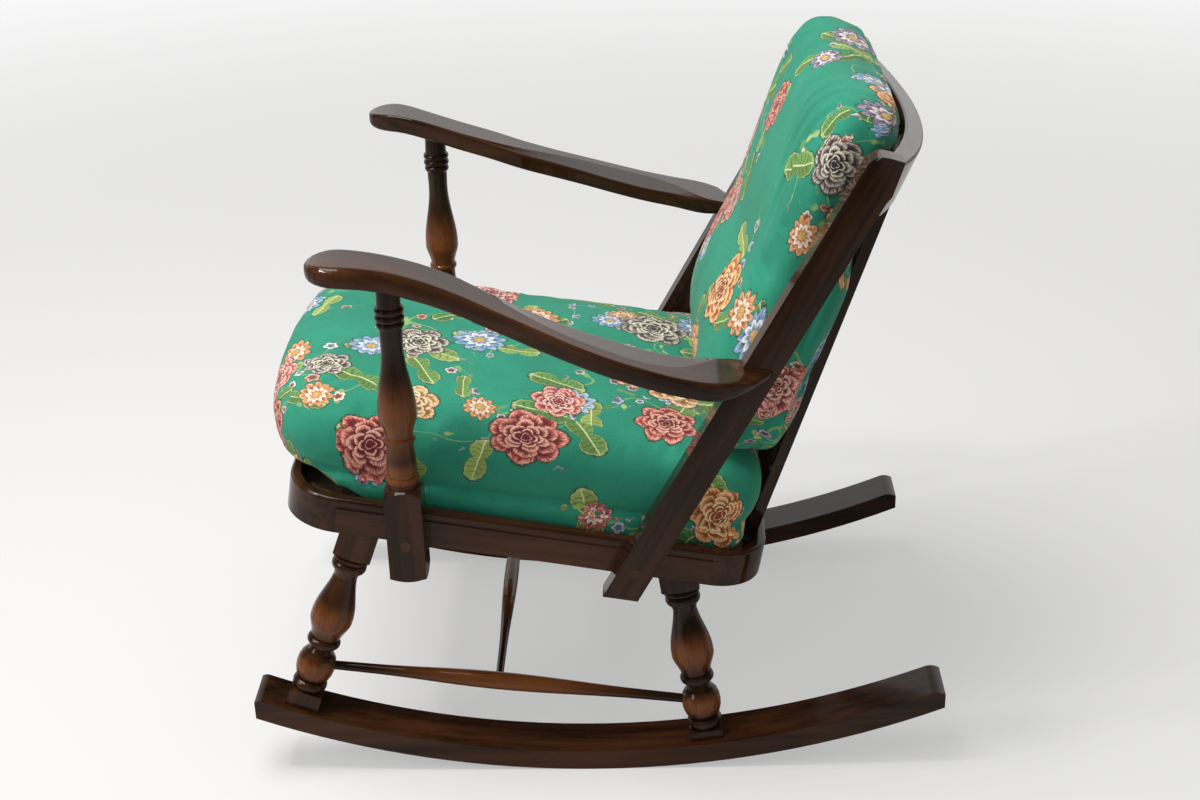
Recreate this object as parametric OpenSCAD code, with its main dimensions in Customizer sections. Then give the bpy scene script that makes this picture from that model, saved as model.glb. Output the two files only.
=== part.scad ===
// Rocking chair with turned legs, shaped arms and loose cushions.
// +Z is up, the sitter faces -Y and the sitter's left is +X.
// The origin lies on the floor, midway between the tips of the rockers.

/* [Rockers] */
// Length of a rocker from tip to tip
rocker_len = 803; // [780:1:830]
// Width of a rocker
rocker_w = 56; // [50:0.5:60]
// Height of the bent rocker bar
rocker_h = 25; // [22:0.5:28]
// Radius of the face that rolls on the floor
rocker_r = 1050; // [980:5:1150]
// Distance over the outer faces of the two rockers
rocker_track = 528; // [500:1:540]
// How far the lowest point lies in front of the origin
rocker_low_y = 6; // [0:1:30]
// Rounding of the front tip
rocker_toe_r = 10; // [6:0.5:14]
// Rounding of the rear tip
rocker_heel_r = 19; // [12:0.5:22]

/* [Seat frame] */
// Width over the side rails
frame_w = 480; // [460:1:500]
// Length of the frame along its slope
frame_len = 552; // [540:1:570]
// Length of the part of the frame in front of the origin
frame_front = 351; // [340:1:360]
// Height of the frame's top above the floor at the origin
frame_z = 304.5; // [290:0.5:320]
// Fall of the seat towards the back, in degrees
seat_tilt = 10.2; // [8:0.1:12]
// Height of a rail
rail_h = 43; // [38:0.5:48]
// Thickness of a rail
rail_t = 24; // [20:0.5:28]
// Outer radius of the frame's corners
corner_r = 62; // [50:1:70]
// Radius of the rail's top outer edge
rail_edge_r = 4; // [2:0.5:6]
// Depth of the bead line under the top edge
bead_line_d = 11; // [9:0.5:14]
// Radius of the bead line
bead_line_r = 1.5; // [1:0.1:2]
// Depth of the rebate that takes the webbing
rebate_d = 14; // [10:0.5:16]
// Legs of a corner block along the rails
corner_block_leg = 120; // [112:1:128]
// Height of a corner block
corner_block_h = 27; // [22:0.5:30]

/* [Legs] */
// Side of the square blocks on a front or rear leg
leg_block_w = 44; // [40:0.5:48]
// Side of the square foot of a leg
leg_foot_w = 39; // [36:0.5:42]
// Distance from the rocker's outer face to the axis of a leg
leg_foot_inset = 28; // [24:0.5:32]
// Level distance from the frame's front end to the axis of a front leg's top
front_leg_set = 81.5; // [78:0.5:88]
// Distance from a rocker's front tip to the axis of a front leg's foot
front_foot_set = 52.5; // [46:0.5:60]
// Level distance from the frame's rear end to the axis of a rear leg's top
rear_leg_set = 103; // [96:0.5:108]
// How far a rear leg's foot stands behind its top
rear_leg_splay = 32; // [24:0.5:38]
// Length of the turned part of a leg
leg_turned_len = 184; // [176:1:190]
// Length of a front leg's square foot on the axis
front_leg_foot_len = 20; // [16:0.5:26]
// Length of a rear leg's square foot on the axis
rear_leg_foot_len = 10; // [8:0.5:14]
// Largest radius of the leg's vase
leg_vase_r = 25; // [22:0.5:28]
// Radius of the leg's neck
leg_neck_r = 13.5; // [12:0.5:15]
// Radius of the ball that takes the stretcher
leg_ball_r = 23; // [21:0.5:25]
// Radius of the leg's rings
leg_ring_r = 20.5; // [18:0.5:23]

/* [Stretchers] */
// Largest radius of a side stretcher
side_stretcher_r = 10.5; // [9:0.5:13]
// Radius of a side stretcher's ends
side_stretcher_end_r = 5.2; // [4.5:0.1:6.5]
// Largest radius of the cross stretcher
cross_stretcher_r = 9; // [8:0.5:10]
// Radius of the cross stretcher's ends
cross_stretcher_end_r = 4.4; // [3.5:0.1:5]
// Depth of a stretcher's tenon in its leg
stretcher_tenon = 14; // [10:0.5:18]
// Depth of the cross stretcher's tenon in a side stretcher
cross_tenon = 5; // [3:0.5:6]
// Place of the cross stretcher along the chair
cross_stretcher_y = -117; // [-130:1:-100]

/* [Arm posts] */
// Side of the square block of a post
post_block_w = 41; // [38:0.5:44]
// Level distance from the frame's front end to the axis of a post
post_set = 138; // [130:0.5:146]
// Depth of the notch that laps over the side rail
post_notch = 8; // [5:0.5:11]
// Height of the post's lower end above the floor
post_foot_z = 265; // [260:1:272]
// Height of the top of the post's block above the floor
post_block_top_z = 380; // [374:1:392]
// Largest radius of the post's belly
post_belly_r = 21.5; // [19:0.5:24]
// Radius of the post's neck
post_neck_r = 12.2; // [11:0.2:14]
// Radius of the post's three upper rings
post_ring_r = 16.2; // [14.6:0.2:18]

/* [Arms] */
// Width of an arm near its front end
arm_w = 62; // [57:0.5:66]
// Thickness of an arm near its front end
arm_t = 22; // [20:0.5:25]
// How far an arm's tail laps behind a stile's front edge
arm_tail = 33; // [28:0.5:38]
// Height of an arm's top face at its front end
arm_front_z = 652; // [640:1:665]
// Fall of the arm's top face from front to back
arm_drop = 131; // [120:1:140]
// Distance of an arm's outer edge from the middle of the chair at the front
arm_out_x = 290; // [285:0.5:295]
// How much further out the arm reaches at the elbow
arm_flare = 29; // [24:0.5:33]
// Length of the rounded front end
arm_nose = 34; // [28:0.5:40]
// Distance from an arm's front tip back to the axis of its post
arm_post_back = 83.5; // [78:0.5:90]
// Radius of the arm's long edges
arm_edge_r = 4; // [3:0.5:6]

/* [Back] */
// Lean of the back stiles, in degrees from upright
stile_rake = 29; // [27:0.2:31]
// Width of a stile
stile_w = 38; // [35:0.5:42]
// Thickness of a stile
stile_t = 25; // [22:0.5:28]
// Level distance from the frame's rear end to a stile's front edge at the frame's top
stile_set = 156.8; // [150:0.1:163]
// How far a stile reaches below the frame
stile_foot = 14; // [8:0.5:22]
// Height of the stile's head above the floor
head_z = 752; // [740:1:762]
// Radius of the head's front corner
head_r = 18; // [14:0.5:22]
// Height of the head
head_h = 50; // [44:0.5:56]
// How far the head's rear edge steps out at its lower end
head_flare = 2; // [1:0.5:3]
// How far the head's top falls from front to back
head_fall = 6.5; // [4:0.5:9]
// How far the head's top rear corner is cut back
head_trim = 6; // [4:0.5:9]
// Lean of the crest rail, in degrees from upright
crest_rake = 24; // [22:0.2:26]
// Height of the crest rail
crest_h = 64; // [58:0.5:72]
// Thickness of the crest rail
crest_t = 23; // [20:0.5:25]
// Radius of the crest rail's edges
crest_edge_r = 3.5; // [2.5:0.5:5]
// Depth of the crest rail's bow
crest_bow = 51; // [45:0.5:56]
// How far the crest rail's ends stand behind the heads' rear corners
crest_behind = 3; // [0:0.5:5]
// How far the crest rail's rear edge lies under the heads' rear corners
crest_low = 10; // [6:0.5:14]
// Number of slats, and the number of slat nodes
slat_count = 5; // [5:5]
// Width of a slat
slat_w = 44; // [38:0.5:50]
// Thickness of a slat
slat_t = 12; // [10:0.5:14]
// Distance between the middles of the two outer slats
slat_spread = 296; // [280:1:330]

/* [Cushions] */
// Distance from the seat cushion's side to the outer face of a side rail
seat_cushion_gap = 11.5; // [6:0.5:17]
// Length of the seat cushion at its middle
seat_cushion_len = 582; // [568:1:592]
// Height of the seat cushion inside its edges, from the webbing up
seat_cushion_h = 110; // [100:1:118]
// How much higher the seat cushion is at its rear end
seat_cushion_rise = 6; // [0:0.5:10]
// Rise of the seat cushion's crown
seat_crown = 16; // [10:0.5:22]
// How far the seat cushion's front edge bows out
seat_cushion_bow = 34; // [20:1:44]
// Clearance between the back cushion's side and a stile
back_cushion_gap = 16.5; // [11:0.5:22]
// Height of the back cushion along its lean
back_cushion_len = 428; // [414:1:442]
// Thickness of the back cushion inside its edges
back_cushion_t = 96; // [86:1:104]
// Rise of the back cushion's crown
back_crown = 14; // [8:0.5:20]
// How much further the back cushion bulges at the small of the back
back_belly = 18; // [10:0.5:24]
// Roundness of the cushions' edges
cushion_edge_r = 34; // [26:1:42]
// How far the cushions' sides draw in between the corners
cushion_draw = 4; // [2:0.5:7]
// How far the cushions' seam draws in
cushion_seam_in = 2; // [1:0.2:3]
// How far the crest rail's ends press the back cushion's upper corners in
back_press = 32; // [29:1:37]

/* [Webbing and fixings] */
// Width of a webbing strap
strap_w = 54; // [48:1:58]
// Thickness of a strap
strap_t = 1.5; // [1:0.1:2]
// Straps that run from front to back
long_straps = 5; // [4:5]
// Straps that run from side to side
cross_straps = 6; // [5:6]
// Diameter of a screw plug
plug_d = 12; // [10:0.5:13]
// Thickness of a screw plug
plug_t = 5; // [4:0.5:6]
// Diameter of a wood screw's shank
screw_d = 5; // [4:0.2:6]
// Length of a wood screw's shank
screw_len = 40; // [38:0.5:40]
// Thickness of a wood screw's head
screw_head_t = 3; // [2.5:0.1:4]

/* [Hidden] */
$fn = 48;

walnut = [0.17, 0.09, 0.055];
raw_wood = [0.55, 0.40, 0.24];
fabric = [0.10, 0.44, 0.34];
jute = [0.62, 0.50, 0.33];
steel = [0.60, 0.60, 0.62];

// One overrun for every cut
over = 60;
// Clearance that keeps a cushion off its neighbours
soft_gap = 0.3;
// Steps of a turned bead, of a turned hollow and of an arm's edge
bead_steps = 8;
flow_steps = 10;
corner_steps = 4;

// Rockers
rocker_x = rocker_track / 2 - rocker_w / 2;
rocker_tip_y = rocker_len / 2;
function rocker_top_z(y) = rocker_r - sqrt(pow(rocker_r - rocker_h, 2) - pow(y + rocker_low_y, 2));

// Seat frame, in its own space: Y runs back along the slope and Z is square to it
rail_x = frame_w / 2;
frame_back = frame_len - frame_front;
front_end_y = -frame_front * cos(seat_tilt);
rear_end_y = frame_back * cos(seat_tilt);
side_rail_front = corner_r - frame_front;
side_rail_back = frame_back - corner_r;
rebate_w = rail_t / 2;
function frame_top_z(y) = frame_z - y * tan(seat_tilt);
function frame_under_z(y) = frame_top_z(y) - rail_h / cos(seat_tilt);

// Legs
leg_top_x = rail_x - leg_block_w / 2;
leg_foot_x = rocker_track / 2 - leg_foot_inset;
leg_shoulder = leg_block_w / 6;
front_leg_top_y = front_end_y + front_leg_set;
front_leg_foot_y = front_foot_set - rocker_tip_y;
rear_leg_top_y = rear_end_y - rear_leg_set;
rear_leg_foot_y = rear_leg_top_y + rear_leg_splay;
leg_ball_share = 0.826;
front_leg_top = [leg_top_x, front_leg_top_y, frame_under_z(front_leg_top_y)];
front_leg_foot = [leg_foot_x, front_leg_foot_y, rocker_top_z(front_leg_foot_y)];
rear_leg_top = [leg_top_x, rear_leg_top_y, frame_under_z(rear_leg_top_y)];
rear_leg_foot = [leg_foot_x, rear_leg_foot_y, rocker_top_z(rear_leg_foot_y)];

// Stretchers
function ball_centre(top, foot, foot_len) =
    foot + (top - foot) / norm(top - foot) * (foot_len + leg_turned_len * (1 - leg_ball_share));
front_ball = ball_centre(front_leg_top, front_leg_foot, front_leg_foot_len);
rear_ball = ball_centre(rear_leg_top, rear_leg_foot, rear_leg_foot_len);
stretcher_way = (rear_ball - front_ball) / norm(rear_ball - front_ball);
side_stretcher_front = front_ball + stretcher_way * (leg_ball_r - stretcher_tenon);
side_stretcher_back = rear_ball - stretcher_way * (leg_ball_r - stretcher_tenon);
side_stretcher_len = norm(side_stretcher_back - side_stretcher_front);
cross_share = (cross_stretcher_y - front_ball.y) / (rear_ball.y - front_ball.y);
cross_joint = front_ball + (rear_ball - front_ball) * cross_share;
cross_half = cross_joint.x - side_stretcher_r + cross_tenon;
swell_share = norm(cross_joint - side_stretcher_front) / side_stretcher_len;

// Back
stile_seat_y = rear_end_y - stile_set;
stile_x = rail_x + stile_t;
stile_depth = stile_w / cos(stile_rake);
stile_foot_z = frame_under_z(stile_seat_y) - stile_foot;
function stile_front_y(z) = stile_seat_y + (z - frame_top_z(stile_seat_y)) * tan(stile_rake);
stile_foot_run = stile_depth / (1 + tan(seat_tilt) * tan(stile_rake));
head_low_z = head_z - head_h;
head_rear_z = head_z - head_fall;
head_back_y = stile_front_y(head_rear_z) + stile_depth - head_trim;
head_reach = head_r * tan((90 - stile_rake) / 2);
crest_back_y = head_back_y + crest_behind;
crest_r = (pow(rail_x, 2) + pow(crest_bow, 2)) / (2 * crest_bow);
crest_end_run = crest_r - crest_bow;
crest_top_z = head_rear_z - crest_low;
function crest_run(x, depth) = sqrt(pow(crest_r - depth, 2) - pow(x, 2)) - crest_end_run;
function crest_point(x, depth, down) = [
    x,
    crest_back_y + crest_run(x, depth) * cos(crest_rake) - down * sin(crest_rake),
    crest_top_z - crest_run(x, depth) * sin(crest_rake) - down * cos(crest_rake)
];
slat_foot_y = (frame_back - rail_t / 2) * cos(seat_tilt);
slat_tenon = 12;
function slat_x(i) = slat_spread * (0.5 - i / (slat_count - 1));
function slat_foot(i) = [slat_x(i), slat_foot_y, frame_top_z(slat_foot_y)];
function slat_head(i) = crest_point(slat_x(i), crest_t / 2, crest_h - slat_tenon);
function slat_turn(i) = -asin(slat_x(i) / crest_r) / 2;
function slat_rake(i) = atan((slat_head(i).y - slat_foot_y) / (slat_head(i).z - slat_foot(i).z));

// Arms: rows for equal steps from the front end back. Each row holds the fall as a share of
// the drop, the width as a share of the width, the reach as a share of the flare, the
// thickness as a share of the thickness, the bevel's width as a share of the width, its drop
// as a share of the thickness and the outer edge's rounding as a share of the width
arm_step_share = 0.08;
arm_shares = [
    [0.000, 0.97, 0.02, 0.98, 0.00, 0.00, 0.153],
    [0.011, 1.00, 0.02, 0.99, 0.00, 0.00, 0.153],
    [0.078, 0.92, -0.34, 1.01, 0.00, 0.00, 0.153],
    [0.172, 0.90, -0.47, 1.04, 0.00, 0.00, 0.145],
    [0.279, 0.88, -0.39, 1.05, 0.03, 0.09, 0.113],
    [0.404, 0.84, -0.22, 1.07, 0.19, 0.13, 0.077],
    [0.522, 0.82, 0.09, 1.06, 0.36, 0.14, 0.073],
    [0.633, 0.89, 0.45, 1.02, 0.50, 0.15, 0.073],
    [0.737, 0.99, 0.73, 0.99, 0.59, 0.16, 0.073],
    [0.830, 1.03, 0.88, 0.98, 0.63, 0.16, 0.073],
    [0.908, 1.07, 0.99, 0.95, 0.47, 0.11, 0.073],
    [0.963, 1.15, 0.87, 0.93, 0.05, 0.05, 0.080],
    [1.008, 0.76, -0.10, 0.55, 0.00, 0.00, 0.080],
    [1.034, 0.05, -1.62, 0.10, 0.00, 0.00, 0.080]
];
arm_nose_shares = [0.02, 0.08, 0.2, 0.38, 0.6, 0.8];
// Where the flat of the top ends above the tail, over which length, and the stations in
// front of and behind the tail's start
arm_crease_share = 0.92;
arm_crease_run_share = 0.025;
arm_tail_share = 0.88;
arm_body_steps = 40;
arm_tail_steps = 12;
post_y = front_end_y + post_set;
arm_front_y = post_y - arm_post_back;
arm_len = stile_front_y(arm_front_z - arm_drop) + arm_tail - arm_front_y;
arm_nose_share = arm_nose / arm_len;
// A smooth curve through one column of the rows
function arm_value(s, col) =
    let (
        rows = len(arm_shares),
        i = min(floor(s / arm_step_share), rows - 2),
        t = s / arm_step_share - i,
        q = [for (k = [i - 1 : i + 2]) arm_shares[min(max(k, 0), rows - 1)][col]],
        rise = q[2] - q[0],
        bend = 2 * q[0] - 5 * q[1] + 4 * q[2] - q[3],
        twist = 3 * q[1] - q[0] - 3 * q[2] + q[3]
    ) q[1] + t * (rise + t * (bend + t * twist)) / 2;
function arm_top_z(s) = arm_front_z - arm_drop * arm_value(s, 0);
function arm_width(s) = arm_w * arm_value(s, 1);
function arm_outer_x(s) = arm_out_x + arm_flare * arm_value(s, 2);
function arm_thick(s) = arm_t * arm_value(s, 3);
function arm_place(y) = (y - arm_front_y) / arm_len;
function arm_under_z(y) = arm_top_z(arm_place(y)) - arm_thick(arm_place(y));
function eased(s) = let (q = min(max(s, 0), 1)) q * q * (3 - 2 * q);

// Posts
post_x = rail_x + post_block_w / 2 - post_notch;
post_shoulder = post_block_w / 5;
post_top_z = arm_under_z(post_y);
post_lap = post_neck_r;
post_top_slope = atan((arm_under_z(post_y + post_lap) - arm_under_z(post_y - post_lap)) / (2 * post_lap));
post_turned_len = post_top_z + post_lap - post_block_top_z;

// Cushions
cushion_turns = [0, 9, 18, 26, 33, 38, 41.5, 43.6, 45, 46.4, 48.5, 52, 57, 64, 72, 81, 90];
cushion_angles = [-90, -66, -44, -22, 0, 22, 44, 66, 90];
cushion_under_shares = [0.5, 0.74];
cushion_inner_shares = [0.82, 0.6, 0.36, 0.14];
cushion_seam = 3;
press_reach_share = 1.3;
belly_shares = [-0.7, 0.6];
foot_slope_share = 0.55;
foot_sink_share = 0.18;
seat_lean_share = 0.8;
soft_corner = 7;
square_corner = 12;
back_lean = slat_rake(0);
lean_over_seat = back_lean - seat_tilt;
slat_turn_run = slat_w / 2 * sin(slat_turn(0));
seat_cushion_back = frame_back - rail_t / 2 - slat_t / 2 - abs(slat_turn_run);
seat_cushion_w = frame_w - 2 * seat_cushion_gap;
back_cushion_w = frame_w - 2 * back_cushion_gap;
seat_cushion_reach = frame_front - rail_t + rebate_w + seat_cushion_back - seat_cushion_len / 2;
lift_gap = 12.879;
lift_run = 34.92;
lift_shares = 2 * (seat_cushion_reach - lift_gap) / seat_cushion_len * [1, 1]
    - [2 * lift_run / seat_cushion_len, 0];
seat_cushion_sink = rebate_d - 2 * strap_t;
seat_cushion_top = seat_cushion_h + seat_cushion_rise - seat_cushion_sink;
back_cushion_foot = (seat_cushion_top - cushion_edge_r * foot_sink_share) / cos(lean_over_seat);

// Webbing and screws
strap_inset = rail_t - rebate_w;
post_screw_z = frame_top_z(post_y) - rail_h / 2 - post_shoulder;
stile_screw_z = frame_under_z(stile_seat_y) + rail_h / 3;

// Outlines of turned work, from the top down, as points of radius and height
function bead(len, at_share, half_share, rad, core) = [
    for (i = [0 : bead_steps])
        let (a = 180 * i / bead_steps)
            [core + (rad - core) * sin(a), -len * (at_share - half_share * cos(a))]
];
function flow(len, from_share, to_share, r1, r2) = [
    for (i = [1 : flow_steps - 1])
        let (s = i / flow_steps)
            [r1 + (r2 - r1) * (1 - cos(180 * s)) / 2, -len * (from_share + (to_share - from_share) * s)]
];
function leg_outline(len) = concat(
    [[0, leg_shoulder / 2], [leg_ring_r * 0.8, leg_shoulder / 2], [leg_ring_r * 0.8, -len * 0.002]],
    bead(len, 0.022, 0.018, leg_ring_r * 1.06, leg_ring_r * 0.86),
    bead(len, 0.078, 0.034, leg_ring_r, leg_ring_r * 0.78),
    flow(len, 0.12, 0.467, leg_neck_r, leg_vase_r),
    flow(len, 0.467, 0.615, leg_vase_r, leg_vase_r * 0.7),
    bead(len, 0.645, 0.026, leg_ring_r * 0.97, leg_ring_r * 0.8),
    [[leg_neck_r * 0.9, -len * 0.7]],
    bead(len, leg_ball_share, 0.1, leg_ball_r, leg_ball_r * 0.62),
    bead(len, 0.963, 0.032, leg_ring_r, leg_ring_r * 0.78),
    [for (height = [-len * 0.998, -len - leg_shoulder / 4]) [leg_ring_r * 0.72, height]],
    [[0, -len - leg_shoulder / 4]]
);
function post_outline(len) = concat(
    [[0, 0], [post_neck_r, 0]],
    bead(len, 0.158, 0.015, post_ring_r, post_ring_r * 0.84),
    bead(len, 0.192, 0.015, post_ring_r, post_ring_r * 0.84),
    bead(len, 0.224, 0.015, post_ring_r * 0.96, post_ring_r * 0.8),
    flow(len, 0.245, 0.33, post_neck_r * 1.04, post_neck_r),
    flow(len, 0.33, 0.645, post_neck_r, post_belly_r),
    flow(len, 0.645, 0.755, post_belly_r, post_belly_r * 0.72),
    bead(len, 0.767, 0.014, post_belly_r * 0.82, post_belly_r * 0.72),
    flow(len, 0.79, 0.94, post_belly_r * 0.7, post_belly_r * 0.8),
    bead(len, 0.965, 0.018, post_belly_r * 0.87, post_belly_r * 0.74),
    [[post_belly_r * 0.8, -len - post_shoulder / 2], [0, -len - post_shoulder / 2]]
);
function stretcher_outline(len, middle_share, thick, thin) = concat(
    [[0, 0], [thin, 0]],
    flow(len, 0.1, middle_share, thin * 1.1, thick),
    [[thick, -len * middle_share]],
    flow(len, middle_share, 0.9, thick, thin * 1.1),
    [[thin, -len], [0, -len]]
);

module turned(outline) {
    rotate_extrude() polygon(outline);
}

// Puts the -Z axis of what it holds along the line from one point to another
module along(top, foot) {
    way = (foot - top) / norm(foot - top);
    lean = asin(way.y);
    translate(top) rotate([lean, -asin(way.x / cos(lean)), 0]) children();
}

module on_side(side) {
    if (side < 0) mirror([1, 0, 0]) children();
    else children();
}

// The space of the sloping seat frame
module frame_space() {
    translate([0, 0, frame_z]) rotate([-seat_tilt, 0, 0]) children();
}

// Everything on the hollow side of the rockers' upper faces
module above_rockers() {
    translate([0, -rocker_low_y, rocker_r]) rotate([0, 90, 0])
        cylinder(h = rocker_track + over, r = rocker_r - rocker_h, center = true, $fn = 180);
}

module below_frame() {
    frame_space() translate([-rail_x - over, -frame_len, -rail_h - frame_z])
        cube([frame_w + 2 * over, 2 * frame_len, frame_z]);
}

// A square block, its corners turned off at one end
module shouldered_block(side, len, shoulder, core) {
    intersection() {
        translate([-side / 2, -side / 2, -len]) cube([side, side, len]);
        turned([[0, 0], [side, 0], [side, shoulder - len], [core, -len], [0, -len]]);
    }
}

module rocker(side) {
    arc_y = -rocker_low_y;
    color(walnut) on_side(side) translate([rocker_x - rocker_w / 2, 0, 0]) rotate([90, 0, 90])
        linear_extrude(rocker_w) difference() {
            intersection() {
                translate([arc_y, rocker_r]) circle(rocker_r, $fn = 360);
                translate([-rocker_tip_y, 0]) square([rocker_len, rocker_r / 2]);
            }
            translate([arc_y, rocker_r]) circle(rocker_r - rocker_h, $fn = 360);
            tip_round(-1, rocker_toe_r);
            tip_round(1, rocker_heel_r);
        }
}

// Takes the upper corner off a rocker's tip
module tip_round(end, rad) {
    rise = asin((rocker_tip_y + end * rocker_low_y) / rocker_r);
    translate([end * rocker_tip_y, rocker_top_z(end * rocker_tip_y)])
        rotate(end * rise) translate([-end * rad, -rad])
            difference() {
                translate([end < 0 ? -over : 0, 0]) square([over, over]);
                circle(rad);
            }
}

module leg(side, top, foot, foot_len) {
    len = norm(foot - top);
    block_len = len - leg_turned_len - foot_len;
    color(walnut) on_side(side) difference() {
        intersection() {
            along(top, foot) {
                translate([0, 0, over])
                    shouldered_block(leg_block_w, block_len + over, leg_shoulder, leg_ring_r * 0.86);
                translate([0, 0, -block_len]) turned(leg_outline(leg_turned_len));
                translate([0, 0, -len - over]) mirror([0, 0, 1])
                    shouldered_block(leg_foot_w, foot_len + over, leg_shoulder / 2, leg_ring_r * 0.78);
            }
            above_rockers();
            below_frame();
        }
        along(side_stretcher_front, side_stretcher_back) translate([0, 0, -side_stretcher_len])
            cylinder(h = side_stretcher_len, r = side_stretcher_end_r);
    }
}

module side_stretcher(side) {
    outline = stretcher_outline(side_stretcher_len, swell_share, side_stretcher_r, side_stretcher_end_r);
    color(walnut) on_side(side) difference() {
        along(side_stretcher_front, side_stretcher_back) turned(outline);
        cross_stretcher_line() cylinder(h = 2 * cross_half, r = cross_stretcher_end_r, center = true);
    }
}

module cross_stretcher_line() {
    translate([0, cross_joint.y, cross_joint.z]) rotate([0, 90, 0]) children();
}

module cross_stretcher() {
    color(walnut) cross_stretcher_line() translate([0, 0, cross_half])
        turned(stretcher_outline(2 * cross_half, 0.5, cross_stretcher_r, cross_stretcher_end_r));
}

// Section of a rail, its outer face at X = 0 and its top at Y = 0
module rail_section(line) {
    difference() {
        translate([-rail_t, -rail_h]) square([rail_t, rail_h]);
        translate([-rail_edge_r, -rail_edge_r]) difference() {
            square(rail_edge_r + over);
            circle(rail_edge_r);
        }
        translate([-rail_t - over, -rebate_d]) square([over + rebate_w, rebate_d + over]);
        if (line) translate([0, -bead_line_d]) circle(bead_line_r);
    }
}

module side_rail(side) {
    color(walnut) on_side(side) difference() {
        frame_space() translate([rail_x, side_rail_back, 0]) rotate([90, 0, 0])
            linear_extrude(side_rail_back - side_rail_front) rail_section(true);
        post_screw_line() cylinder(h = over, r = screw_d / 2, center = true);
        stile_screw_line() cylinder(h = over, r = screw_d / 2, center = true);
    }
}

// A rail with both of its round corners, its outer face towards +Y at Y = 0
module cornered_rail() {
    rotate([90, 0, 90]) linear_extrude(frame_w - 2 * corner_r, center = true) rail_section(false);
    for (side = [-1, 1]) on_side(side) translate([rail_x - corner_r, -corner_r, 0])
        rotate_extrude(angle = 90) translate([corner_r, 0]) rail_section(false);
}

module front_rail() {
    color(walnut) frame_space() translate([0, -frame_front, 0]) mirror([0, 1, 0]) cornered_rail();
}

module rear_rail() {
    color(walnut) frame_space() translate([0, frame_back, 0]) cornered_rail();
}

module frame_inside() {
    inner_r = corner_r - rail_t;
    inner_x = rail_x - rail_t;
    inner_front = rail_t - frame_front;
    inner_back = frame_back - rail_t;
    translate([inner_r - inner_x, inner_front])
        square([2 * (inner_x - inner_r), inner_back - inner_front]);
    translate([-inner_x, inner_front + inner_r])
        square([2 * inner_x, inner_back - inner_front - 2 * inner_r]);
    for (x = [inner_r - inner_x, inner_x - inner_r], y = [inner_front + inner_r, inner_back - inner_r])
        translate([x, y]) circle(inner_r);
}

module corner_blocks() {
    color(raw_wood) frame_space() translate([0, 0, -rail_h]) linear_extrude(corner_block_h)
        intersection() {
            frame_inside();
            for (side = [-1, 1], end = [rail_t - frame_front, frame_back - rail_t])
                translate([side * (rail_x - rail_t), end]) scale([-side, end < 0 ? 1 : -1])
                    polygon([[0, 0], [corner_block_leg, 0], [0, corner_block_leg]]);
        }
}

module post_screw_line() {
    translate([rail_x, post_y, post_screw_z]) rotate([0, 90, 0]) children();
}

module stile_screw_line() {
    translate([rail_x, stile_front_y(stile_screw_z) + stile_depth / 2, stile_screw_z]) rotate([0, 90, 0])
        children();
}

// The two bores that a screw and its plug need, from the outer face of a piece inwards
module screw_bores(depth) {
    translate([0, 0, -over]) cylinder(h = 2 * over, r = screw_d / 2);
    translate([0, 0, depth - plug_t - screw_head_t]) cylinder(h = over, r = plug_d / 2);
}

module arm_post(side) {
    block_len = post_block_top_z - post_foot_z;
    color(walnut) on_side(side) difference() {
        translate([post_x, post_y, post_block_top_z]) {
            intersection() {
                translate([0, 0, post_turned_len]) turned(post_outline(post_turned_len));
                post_top_cut();
            }
            post_block(block_len);
        }
        frame_space() translate([0, -frame_front, -rail_h]) cube([rail_x, frame_len, rail_h]);
        post_screw_line() screw_bores(post_block_w - post_notch);
    }
}

// Everything under the arm's lower face, from the top of the post's block
module post_top_cut() {
    translate([0, 0, post_top_z - post_block_top_z]) rotate([post_top_slope, 0, 0])
        translate([-over, -post_turned_len / 2, -2 * post_turned_len])
            cube([2 * over, post_turned_len, 2 * post_turned_len]);
}

// The post's square block, its corners turned off at both ends
module post_block(len) {
    intersection() {
        translate([-post_block_w / 2, -post_block_w / 2, -len]) cube([post_block_w, post_block_w, len]);
        turned([
            [0, 0], [post_belly_r * 0.86, 0], [post_block_w, -post_shoulder * 2],
            [post_block_w, post_shoulder * 1.4 - len], [post_block_w * 0.42, -len], [0, -len]
        ]);
    }
}

// One section of an arm, as a ring of points: a round outer top edge, the flat, the crease
// and the bevel down to the inner edge, and the two lower edges
function arm_corner(x, z, rx, rz, turn, steps) = [
    for (i = [0 : steps])
        let (a = turn + 90 * i / steps)
            [x + rx * cos(a), z + rz * sin(a)]
];
function arm_section(s, grow) =
    let (
        w = arm_width(s) * grow,
        t = arm_thick(s) * pow(grow, 0.4),
        out = arm_outer_x(s) - arm_width(s) / 2 + w / 2,
        top = arm_top_z(s) - arm_thick(s) / 2 + t / 2,
        r = min(arm_edge_r, w / 3, t / 3),
        tail = eased((s - arm_crease_share) / arm_crease_run_share),
        edge = arm_w * arm_value(s, 6),
        round_x = min(edge, w / 3) * (1 - tail) + max(r, out - stile_x) * tail,
        round_z = min(edge, t * 0.42) * (1 - tail) + t * 0.48 * tail,
        crease = out - w + r + arm_w * max(0, arm_value(s, 4)),
        drop = arm_t * max(0, arm_value(s, 5))
    ) concat(
        arm_corner(out - round_x, top - round_z, round_x, round_z, 0, 2 * corner_steps - 1),
        [[crease + r / 4, top], [crease, top]],
        arm_corner(out - w + r, top - drop - r, r, r, 90, corner_steps),
        arm_corner(out - w + r, top - t + r, r, r, 180, corner_steps - 1),
        arm_corner(out - r, top - t + r, r, r, 270, corner_steps - 1),
        [[out + t / 40, top - (round_z + t - r) / 2]]
    );
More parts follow.
